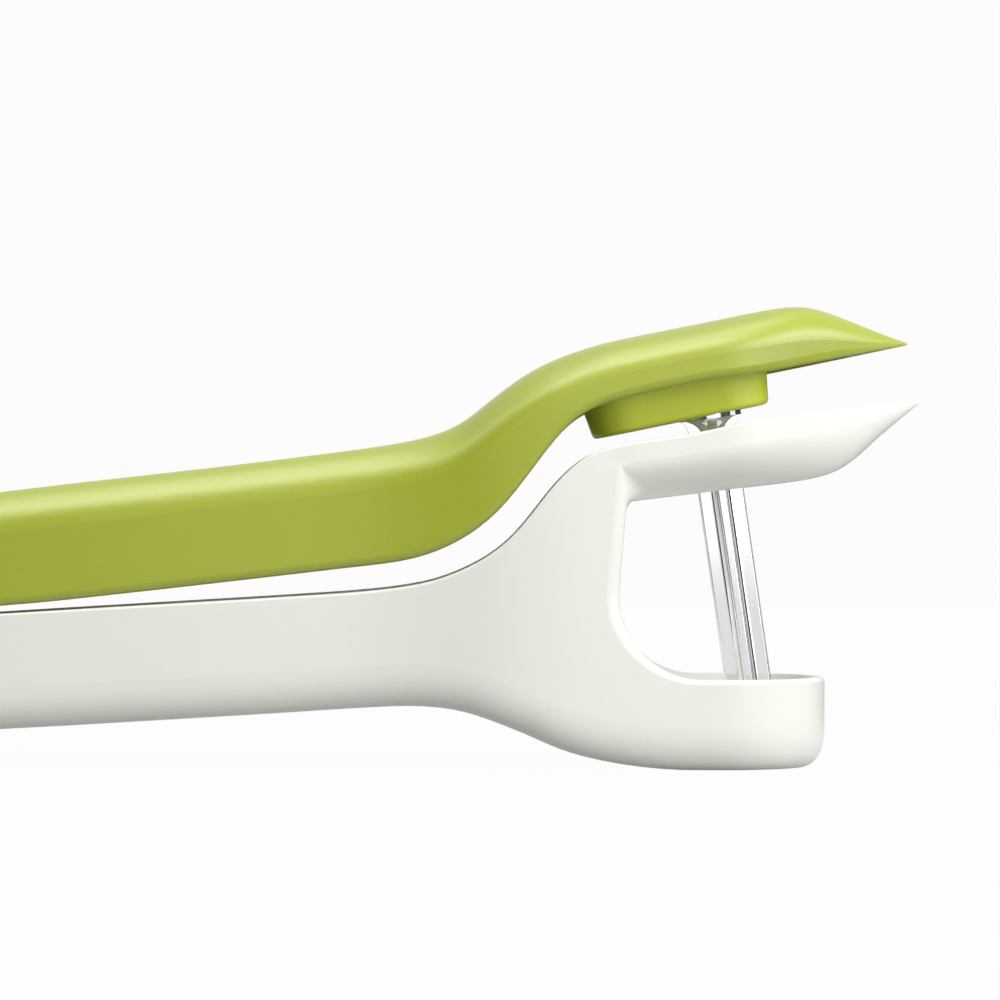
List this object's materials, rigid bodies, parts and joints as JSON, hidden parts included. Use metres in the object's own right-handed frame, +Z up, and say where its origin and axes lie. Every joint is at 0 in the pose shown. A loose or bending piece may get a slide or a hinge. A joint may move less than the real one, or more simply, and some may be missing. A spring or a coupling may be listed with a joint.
{
  "type": "lever cherry pitter",
  "caption": "Hand-held lever cherry pitter: a cup with a pit hole under a slotted upper arm, and a hinged lever that drives a cross-bladed plunger through the fruit.",
  "frame": {"origin": "under the middle of the tool's length, in its middle plane, at the level of the cup's flat underside", "axes": "+X forward along the tool from the hinge to the cup, +Y across it to its left, +Z up from the cup to the lever"},
  "size_m": [0.1448, 0.027, 0.0609],
  "materials": {
    "white_plastic": "warm white moulded plastic, softly glossy",
    "lime_plastic": "lime green moulded plastic, satin with fine speckle",
    "green_plastic": "slightly cooler green moulded plastic",
    "polished_steel": "bright plated metal",
    "screw_steel": "plain bright steel",
    "spring_steel": "drawn spring wire"
  },
  "bodies": {
    "frame": {"body_frame": "white_plastic", "pivot_pin": "screw_steel", "torsion_spring": "spring_steel"},
    "lever_arm": {"lever": "lime_plastic", "plunger_carrier": "green_plastic", "plunger": "polished_steel", "plunger_screw": "screw_steel", "carrier_screws": "screw_steel"}
  },
  "joints": [
    {"name": "lever_hinge", "type": "hinge", "parent": "frame", "child": "lever_arm", "pos_m": [-0.059, 0, 0.018], "axis": [0, -1, 0], "range_deg": [-2.7, 16], "stiffness_Nm_per_rad": 0.6, "deforming": ["torsion_spring"]}
  ]
}
